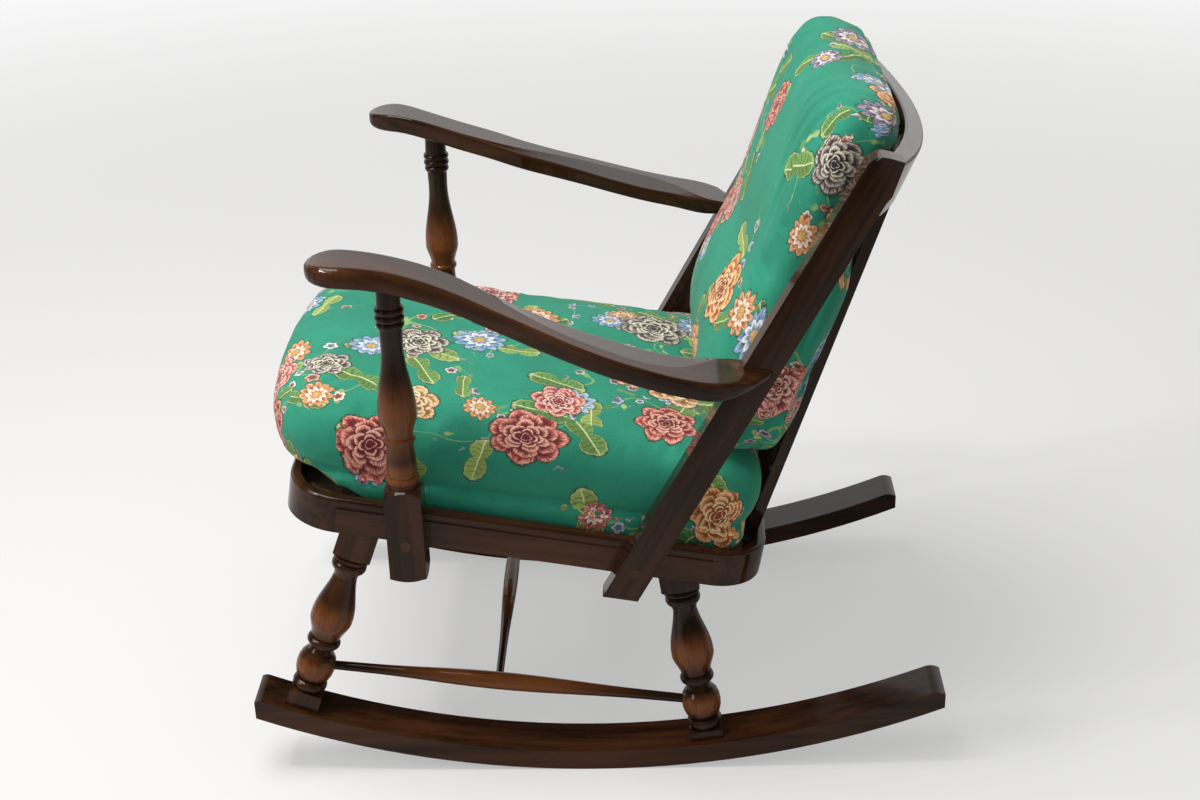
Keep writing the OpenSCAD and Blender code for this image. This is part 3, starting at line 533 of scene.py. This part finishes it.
# Asters: colour of each kind by a random number, what their petals pale to, the two colours of the
# heart, and petals, wave and turn of the outer and the inner ring
asters = {
    "cells": 11.5,
    "shift": (1.27, 2.09),
    "scatter": 0.80,
    "radius": 0.031,
    "sizes": (0.62, 0.6),
    "crowd": 0.43,
    "bare": 0.34,
    "rays": 9.0,
    "outlineReach": 1.09,
    "kinds": (
        (0.0, (0.16, 0.28, 0.48)), (0.30, (0.46, 0.060, 0.050)), (0.50, (0.20, 0.13, 0.24)),
        (0.66, (0.62, 0.22, 0.060)), (0.84, (0.30, 0.42, 0.56)),
    ),
    "pale": (0.88, 0.86, 0.74),
    "heart": ((0.22, 0.085, 0.018), (0.80, 0.56, 0.18)),
    "heartReach": 0.24,
    "outerRing": (11, 0.34, 0.0),
    "innerRing": (9, 0.34, 0.8),
    "innerReach": 0.62,
}


def addAsters(sh, cloth, place):
    patch = Patch(sh, place, asters)
    kept = (patch.bunch > asters["crowd"]) * (patch.second > asters["bare"])
    r = patch.reach()
    line = rays(sh, patch, r)
    fray = (line - 0.5) * floralPrint["fray"]
    tones = sh.tint(asters["kinds"], patch.first)
    pale = sh.mix(0.72, tones, asters["pale"])
    shade = sh.lighten(tones, 0.30)
    k = petals(r, patch.angle, *asters["outerRing"]) + fray
    edge = inside(k / asters["outlineReach"], 0.06)
    cloth = sh.mix(edge * kept * 0.7, cloth, floralPrint["outline"])
    petal = sh.mix(k.ramp(0.45, 0.92), shade, tones)
    petal = sh.mix(line.ramp(0.48, 0.66) * k.ramp(0.55, 0.95), petal, pale)
    cloth = sh.mix(inside(k, 0.07) * kept, cloth, petal)
    k = petals(r / asters["innerReach"], patch.angle, *asters["innerRing"]) + fray
    petal = sh.mix(k.ramp(0.40, 0.90), sh.mix(0.4, shade, tones), pale)
    cloth = sh.mix(inside(k, 0.07) * kept, cloth, petal)
    heart = sh.mix(line.ramp(0.4, 0.6), *asters["heart"])
    return sh.mix(inside(r / asters["heartReach"], 0.2) * kept, cloth, heart)


# Leaves: the two greens between which they vary, their rim and vein, and teeth along the edge
leaves = {
    "cells": 15.0,
    "shift": (2.61, 0.83),
    "scatter": 0.85,
    "radius": 0.033,
    "sizes": (0.65, 0.5),
    "crowd": 0.42,
    "bare": 0.22,
    "outlineReach": 1.08,
    "greens": ((0.055, 0.20, 0.050), (0.30, 0.40, 0.10)),
    "rim": (0.52, 0.58, 0.26),
    "vein": (0.56, 0.60, 0.30),
    "teeth": (24, 10),
    "toothDepth": 0.025,
}


def addLeaves(sh, cloth, place):
    patch = Patch(sh, place, leaves)
    kept = (patch.bunch > leaves["crowd"]) * (patch.second > leaves["bare"])
    r = patch.reach()
    aside = patch.angle.sine()
    out, across = leaves["teeth"]
    tooth = (r * out - abs(aside) * across).sine()
    k = r / (abs(patch.angle.cosine()) ** 1.9 * 0.82 + 0.20) + tooth * leaves["toothDepth"]
    vein = (abs(aside) * r).ramp(0.040, 0.010)
    rib = tooth.ramp(0.66, 0.98) * k.ramp(0.98, 0.70)
    green = sh.mix(patch.first, *leaves["greens"])
    dark = sh.lighten(green, 0.26)
    green = sh.mix(aside.ramp(-0.05, 0.05) * 0.5, green, sh.lighten(green, 0.55))
    edge = inside(k / leaves["outlineReach"], 0.06)
    cloth = sh.mix(edge * kept * 0.75, cloth, floralPrint["outline"])
    leaf = sh.mix(k.ramp(0.86, 0.99) * 0.7, green, leaves["rim"])
    leaf = sh.mix(rib * 0.75, leaf, dark)
    leaf = sh.mix(vein, leaf, leaves["vein"])
    return sh.mix(inside(k, 0.05) * kept, cloth, leaf)


# Sprays: thin stalks where a broad noise crosses its middle, with blades and florets beside them
stalks = {
    "bendScale": 8.0,
    "middle": 0.52,
    "width": (0.0050, 0.0018),
    "beside": (0.055, 0.035),
    "crowd": (0.42, 0.46),
    "colour": (0.24, 0.38, 0.11),
}
blades = {
    "cells": 29.4,
    "shift": (0.9, 0.4),
    "scatter": 0.8,
    "radius": 0.0085,
    "bare": 0.30,
    "greens": ((0.06, 0.20, 0.06), (0.36, 0.48, 0.17)),
}
florets = {
    "cells": 42.0,
    "shift": (0.2, 0.6),
    "scatter": 0.85,
    "radius": 0.0085,
    "sizes": (0.6, 0.5),
    "bare": 0.45,
    "outlineReach": 1.18,
    "ring": (5, 0.34),
    "kindScale": 4.0,
    "kinds": ((0.0, (0.34, 0.20, 0.34)), (0.4, (0.36, 0.46, 0.60)), (0.7, (0.60, 0.22, 0.12))),
    "pale": (0.84, 0.80, 0.68),
}


def addSprays(sh, cloth, place):
    bend = sh.noise(place, stalks["bendScale"], 1.0)
    crowd = sh.noise(place, floralPrint["bunchScale"], 0.0).ramp(*stalks["crowd"])
    off = abs(bend - stalks["middle"])
    cloth = sh.mix(off.ramp(*stalks["width"]) * crowd * 0.8, cloth, stalks["colour"])
    beside = off.ramp(*stalks["beside"]) * crowd
    patch = Patch(sh, place, blades)
    k = patch.radius / blades["radius"] / (abs(patch.angle.cosine()) ** 4 * 1.35 + 0.20)
    green = sh.mix(patch.second, *blades["greens"])
    cloth = sh.mix(inside(k, 0.15) * beside * (patch.third > blades["bare"]), cloth, green)
    patch = Patch(sh, place, florets)
    k = petals(patch.reach(), patch.angle, *florets["ring"])
    tones = sh.tint(florets["kinds"], sh.noise(place, florets["kindScale"], 0.0).ramp(0.35, 0.65))
    pale = sh.mix(patch.first * 0.8, tones, florets["pale"])
    petal = sh.mix(k.ramp(0.35, 0.85), sh.lighten(tones, 0.30), pale)
    shown = beside * (patch.second > florets["bare"])
    edge = inside(k / florets["outlineReach"], 0.1)
    cloth = sh.mix(edge * shown * 0.6, cloth, floralPrint["outline"])
    return sh.mix(inside(k, 0.12) * shown, cloth, petal)


def wavered(sh, place, scale, amount):
    # A place moved about by a noise, at most half the amount each way
    off = sh.vector("SUBTRACT", sh.noise(place, scale, 1.0, colour=True), (0.5, 0.5, 0.5))
    return sh.scaled(off, amount)


def floralCloth(name, shift, given):
    sh = Shader(name)
    flat = sh.clothPlace()
    inputs = {"Vector": flat, "Angle": given["turn"]}
    turned = sh.make("ShaderNodeVectorRotate", {"rotation_type": "Z_AXIS"}, inputs)
    turned = sh.vector("ADD", turned, (*shift, 0.0))
    waver = wavered(sh, turned, given["waverScale"], given["waver"])
    jag = wavered(sh, turned, given["jagScale"], given["jag"])
    place = sh.vector("ADD", sh.vector("ADD", turned, waver), jag)
    u, v = sh.parts(flat)[:2]
    long, fine = given["slubScales"]
    slub = sh.noise(sh.joined(u * long, v * fine), 1.0, 2.0) * 0.5
    slub = slub + sh.noise(sh.joined(u * fine, v * long), 1.0, 2.0) * 0.5
    cloud = sh.noise(flat, 9.0, 2.0)
    cloth = sh.mix(cloud.ramp(0.3, 0.7, (0.35, 1.0)), given["groundDark"], given["ground"])
    for addLayer in (addSprays, addLeaves, addAsters, addRoses):
        cloth = addLayer(sh, cloth, place)
    cloth = sh.lighten(cloth, slub.ramp(0.25, 0.75, given["slubTone"]))
    rate = given["threads"] * math.pi
    threads = (u * rate).sine() * (v * rate).sine()
    return sh.finish(
        cloth,
        Roughness=slub.ramp(0.2, 0.8, given["roughness"]),
        Specular_IOR_Level=given["specular"],
        Sheen_Weight=given["sheen"],
        Sheen_Roughness=given["sheenRoughness"],
        Normal=sh.bump(slub + threads * 0.15, given["bumpStrength"], given["bumpDepth"]),
    )


# Cushions, in metres: starting inset, voxel, cap on the swelling and the simulation's settings. The
# seam, its pucker, the pull folds with the swelling beside them, and the lower side edges follow.
# Heights are shares of the cushion's own
stuffing = {
    "inset": 0.004,
    "voxel": 0.006,
    "smoothings": 6,
    "smoothFactor": 0.5,
    "cap": 0.010,
    "frames": 20,
    "cloth": {
        "quality": 5,
        "mass": 0.3,
        "tension_stiffness": 12,
        "compression_stiffness": 12,
        "shear_stiffness": 4,
        "bending_stiffness": 0.4,
        "use_pressure": True,
        "uniform_pressure_force": 4.0,
    },
    "seamHeight": 0.28,
    "seamDepth": 0.0022,
    "seamWidth": 0.0032,
    "seamSteepest": 0.8,
    "pucker": 0.35,
    "puckerRates": (310, 290),
    "foldDepth": 0.0030,
    "foldWidth": 0.0055,
    "foldSteps": 60,
    "foldTaper": 0.7,
    "swell": 0.45,
    "swellPlace": 2.1,
    "turnedHeight": 0.86,
    "turnedOut": 1.4,
    "lowEdge": 0.030,
    "lowGap": 0.003,
    "lowStart": 2.5,
}

# Share by which each cushion's lower side edges fill out against what they lie in, how far its
# front stays behind the solid's, where its print starts, and its pull folds: start, bend and end of
# each as shares of half the cushion's width and length on the cloth, and its strength
shaping = {
    "seat_cushion": {
        "lowFill": 0.88,
        "front": 0.005,
        "printShift": (0.0, 0.0),
        "folds": (((0.55, -0.60), (0.70, -0.80), (0.98, -0.86), 0.5),),
    },
    "back_cushion": {
        "lowFill": 0.0,
        "front": 0.0,
        "printShift": (1.9, 0.7),
        "folds": (
            ((0.70, 0.10), (0.66, 0.80), (0.92, 1.14), 1.0),
            ((0.57, 0.26), (0.52, 0.92), (0.76, 1.16), 0.9),
            ((0.46, 0.50), (0.41, 0.98), (0.60, 1.16), 0.6),
            ((-0.66, 0.30), (-0.62, 0.84), (-0.86, 1.12), 0.7),
        ),
    },
}


def localFrame(way, origin):
    # X across, Y along way and Z out of the cushion's crown
    y = Vector(way).normalized()
    x = Vector((1, 0, 0))
    z = x.cross(y)
    return Matrix.Translation(origin) @ Matrix((x, y, z)).transposed().to_4x4()


def carried(matrix, co):
    # Points taken through a matrix
    turn = np.array(matrix)
    return co @ turn[:3, :3].T + turn[:3, 3]


def copyOf(node, name):
    piece = bpy.data.objects.new(name, node.data.copy())
    bpy.context.scene.collection.objects.link(piece)
    return piece


def setPoints(obj, co):
    obj.data.vertices.foreach_set("co", np.asarray(co, dtype=np.float64).ravel())
    obj.data.update()


def normals(obj):
    out = np.empty(len(obj.data.vertices) * 3)
    obj.data.vertices.foreach_get("normal", out)
    return out.reshape(-1, 3)


def useModifiers(piece):
    # Puts the modifiers' result in the piece's mesh and takes them off
    graph = bpy.context.evaluated_depsgraph_get()
    mesh = bpy.data.meshes.new_from_object(piece.evaluated_get(graph))
    mesh.name = piece.name
    piece.modifiers.clear()
    old = piece.data
    piece.data = mesh
    bpy.data.meshes.remove(old)


def remeshed(piece, given):
    tool = piece.modifiers.new("remesh", "REMESH")
    tool.mode = "VOXEL"
    tool.voxel_size = given["voxel"]
    useModifiers(piece)
    tool = piece.modifiers.new("smooth", "SMOOTH")
    tool.iterations = given["smoothings"]
    tool.factor = given["smoothFactor"]
    useModifiers(piece)


def puffUp(piece, given):
    # Blows the cushion up from inside and caps how far each point goes
    start = points(piece)
    tool = piece.modifiers.new("cloth", "CLOTH")
    for key, value in given["cloth"].items():
        setattr(tool.settings, key, value)
    tool.settings.effector_weights.gravity = 0
    tool.collision_settings.use_collision = False
    scene = bpy.context.scene
    for step in range(1, given["frames"] + 1):
        scene.frame_set(step)
    useModifiers(piece)
    moved = points(piece) - start
    far = np.linalg.norm(moved, axis=1, keepdims=True)
    moved *= np.minimum(1.0, given["cap"] / np.maximum(far, 1e-9))
    setPoints(piece, start + moved)
    scene.frame_set(1)


def smoother(piece):
    tool = piece.modifiers.new("fine", "SUBSURF")
    tool.levels = 1
    tool.render_levels = 1
    useModifiers(piece)


def layCloth(piece, back, edgeHeight, given):
    # The cloth's own flat place of each corner: what hangs down at the sides is turned out flat
    co = carried(back, points(piece))
    way = normals(piece) @ np.array(back)[:3, :3].T
    side = np.linalg.norm(way[:, :2], axis=1, keepdims=True)
    out = way[:, :2] / np.maximum(side, 1e-6)
    drop = np.clip(edgeHeight - co[:, 2:3], 0, None)
    flat = co[:, :2] + out * drop * np.minimum(1, side * given["turnedOut"])
    layer = piece.data.uv_layers.new(name="cloth")
    corners = np.empty(len(piece.data.loops), dtype=np.int32)
    piece.data.loops.foreach_get("vertex_index", corners)
    layer.data.foreach_set("uv", flat[corners].astype(np.float32).ravel())
    return co, way, flat


def fitted(co, cad, front):
    # The swollen cushion brought back to its solid's size
    trim = np.array([0, front, 0])
    low, size = co.min(0), cad.max(0) - cad.min(0)
    return cad.min(0) + trim + (co - low) * ((size - trim) / (co.max(0) - low))


def fillLow(co, cad, share, given):
    # Fills the lower side edges out against the frame that the cushion lies in
    edge, floorZ = given["lowEdge"], cad[:, 2].min()
    halfWidth = np.ptp(cad[:, 0]) / 2
    inward = np.clip(halfWidth - given["lowGap"] - np.abs(co[:, 0]), 0, None)
    reach = np.clip((co[:, 1] - cad[:, 1].min()) / edge - given["lowStart"], 0, 1) * share
    high = np.clip((co[:, 2] - floorZ) / edge, 0, 1)
    fill = np.minimum(inward, edge) * np.clip(1 - (inward - edge) / (2 * edge), 0, 1)
    co[:, 0] += np.sign(co[:, 0]) * fill * (high < 1) * reach
    co[:, 2] -= edge * high * (1 - high) * (inward < 3 * edge) * reach
    co[:, 2] = np.maximum(co[:, 2], floorZ)


def folded(flat, half, folds, given):
    # Depth of the pull folds at each point of the cloth
    depth = np.zeros(len(flat))
    count = given["foldSteps"]
    for start, bend, end, strength in folds:
        a, b, c = (np.array(point) * half for point in (start, bend, end))
        steps = np.linspace(0, 1, count)[:, None]
        line = a * (1 - steps) ** 2 + 2 * b * steps * (1 - steps) + c * steps**2
        gaps = np.linalg.norm(flat[:, None, :] - line[None, :, :], axis=2)
        nearest = gaps.argmin(1)
        gap = gaps[np.arange(len(flat)), nearest] / given["foldWidth"]
        taper = np.sin(np.pi * (nearest / (count - 1))) ** given["foldTaper"]
        swell = given["swell"] * np.exp(-((gap - given["swellPlace"]) ** 2))
        depth += strength * taper * (np.exp(-(gap**2)) - swell)
    return depth * given["foldDepth"]


def stitched(co, out, seamZ, given):
    # Depth of the puckered seam round the sides at each point
    near = np.exp(-(((co[:, 2] - seamZ) / given["seamWidth"]) ** 2))
    across, along = given["puckerRates"]
    pucker = 1 + given["pucker"] * np.sin(co[:, 0] * across) * np.sin(co[:, 1] * along)
    return near * given["seamDepth"] * pucker * (np.abs(out[:, 2]) < given["seamSteepest"])


def cushion(node, name, way, given):
    shape = shaping[node]
    piece = copyOf(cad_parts[node], name)
    low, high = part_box(node)
    local = localFrame(way, (low + high) / 2)
    back = local.inverted()
    cad = carried(back, points(piece))
    floorZ, height = cad[:, 2].min(), np.ptp(cad[:, 2])
    setPoints(piece, points(piece) - normals(piece) * given["inset"])
    remeshed(piece, given)
    puffUp(piece, given)
    co = fitted(carried(back, points(piece)), cad, shape["front"])
    fillLow(co, cad, shape["lowFill"], given)
    setPoints(piece, carried(local, co))
    smoother(piece)
    co, out, flat = layCloth(piece, back, floorZ + height * given["turnedHeight"], given)
    half = np.ptp(cad[:, :2], axis=0) / 2
    co -= out * folded(flat, half, shape["folds"], given)[:, None]
    co -= out * stitched(co, out, floorZ + height * given["seamHeight"], given)[:, None]
    setPoints(piece, carried(local, co))
    piece.data.shade_smooth()
    piece.data.materials.clear()
    piece.data.materials.append(floralCloth("cloth." + name, shape["printShift"], floralPrint))
    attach(piece, "root")
    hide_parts(node)
    print("cushion made:", name, len(piece.data.vertices))


seatWay = longWay(points(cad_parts["side_rail_left"]))[0]
backWay = longWay(points(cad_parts["back_slat_3"]))[0]
cushion("seat_cushion", "seatCushion", seatWay, stuffing)
cushion("back_cushion", "backCushion", backWay, stuffing)

# Floor: its colour in the object's light and as the camera sees it, its size in metres, and the
# share of white that lies over it for the camera, which fades to all white over some metres
ground = {
    "colour": (0.56, 0.545, 0.52),
    "seen": (0.65, 0.64, 0.62),
    "roughness": 0.7,
    "size": 40.0,
    "veil": 0.42,
    "fade": (1.1, 5.0),
}


def makeFloor(given):
    reach = given["size"] / 2
    mesh = bpy.data.meshes.new("floor")
    corners = [(-reach, -reach, 0), (reach, -reach, 0), (reach, reach, 0), (-reach, reach, 0)]
    mesh.from_pydata(corners, [], [(0, 1, 2, 3)])
    floor = bpy.data.objects.new("floor", mesh)
    bpy.context.scene.collection.objects.link(floor)
    sh = Shader("floor")
    seen = sh.make("ShaderNodeLightPath", output="Is Camera Ray")
    colour = sh.mix(seen, given["colour"], given["seen"])
    base = {"Base Color": colour, "Roughness": given["roughness"]}
    matt = sh.make("ShaderNodeBsdfPrincipled", None, base)
    white = {"Color": (1.0, 1.0, 1.0, 1.0), "Strength": 1.0}
    veil = sh.make("ShaderNodeEmission", None, white)
    far = sh.vector("LENGTH", sh.place(), output="Value").ramp(*given["fade"])
    share = seen * (far * (1 - given["veil"]) + given["veil"])
    surface = sh.make("ShaderNodeMixShader", None, [share, matt, veil])
    sh.make("ShaderNodeOutputMaterial", None, [surface])
    mesh.materials.append(sh.material)


# Sky: how bright it is for the camera, for the object's light and in its gloss. The wall is the
# side of it that gloss mirrors: its way, the cosines over which it begins, and the sines of the
# heights over which it ends
sky = {
    "shown": 1.0,
    "light": 0.46,
    "dim": 0.10,
    "wallMirrored": 1.0,
    "wallWay": (-1.0, 0.0, 0.0),
    "wallEdge": (0.15, 0.75),
    "wallHeight": (0.70, 0.45),
}


def makeSky(given):
    world = bpy.data.worlds.new("studio")
    bpy.context.scene.world = world
    sh = Shader("sky", world)
    way = sh.make("ShaderNodeTexCoord", output="Generated")
    height = sh.parts(way)[2]
    side = sh.dot(way, given["wallWay"]).ramp(*given["wallEdge"])
    wall = side * height.ramp(*given["wallHeight"])
    seen = sh.make("ShaderNodeLightPath", output="Is Camera Ray")
    mirrored = sh.twin(seen, "Is Glossy Ray").most(sh.twin(seen, "Is Transmission Ray"))
    inGloss = wall * (given["wallMirrored"] - given["dim"]) + given["dim"]
    strength = mirrored * inGloss + (1 - mirrored) * given["light"]
    strength = seen * given["shown"] + (1 - seen) * strength
    inputs = {"Color": (1.0, 1.0, 1.0, 1.0), "Strength": strength}
    background = sh.make("ShaderNodeBackground", None, inputs)
    sh.make("ShaderNodeOutputWorld", None, [background])


# Lamps: name, place, aim, width in metres and power in watts
lamps = (
    ("overhead", (0.2, -0.7, 2.9), (0.0, 0.0, 0.4), 1.7, 63.0),
    ("key", (1.5, -2.5, 2.1), (0.0, 0.0, 0.4), 1.2, 24.0),
    ("spark", (0.6, -1.3, 2.4), (0.0, 0.0, 0.5), 0.22, 13.0),
)


def makeLamps(given):
    for name, place, aim, size, power in given:
        light = bpy.data.lights.new(name, "AREA")
        light.shape = "DISK"
        light.size = size
        light.energy = power
        lamp = bpy.data.objects.new(name, light)
        lamp.location = place
        ahead = Vector(aim) - Vector(place)
        lamp.rotation_euler = ahead.to_track_quat("-Z", "Y").to_euler()
        bpy.context.scene.collection.objects.link(lamp)


makeFloor(ground)
makeSky(sky)
makeLamps(lamps)
print("studio made")

bpy.context.view_layer.update()
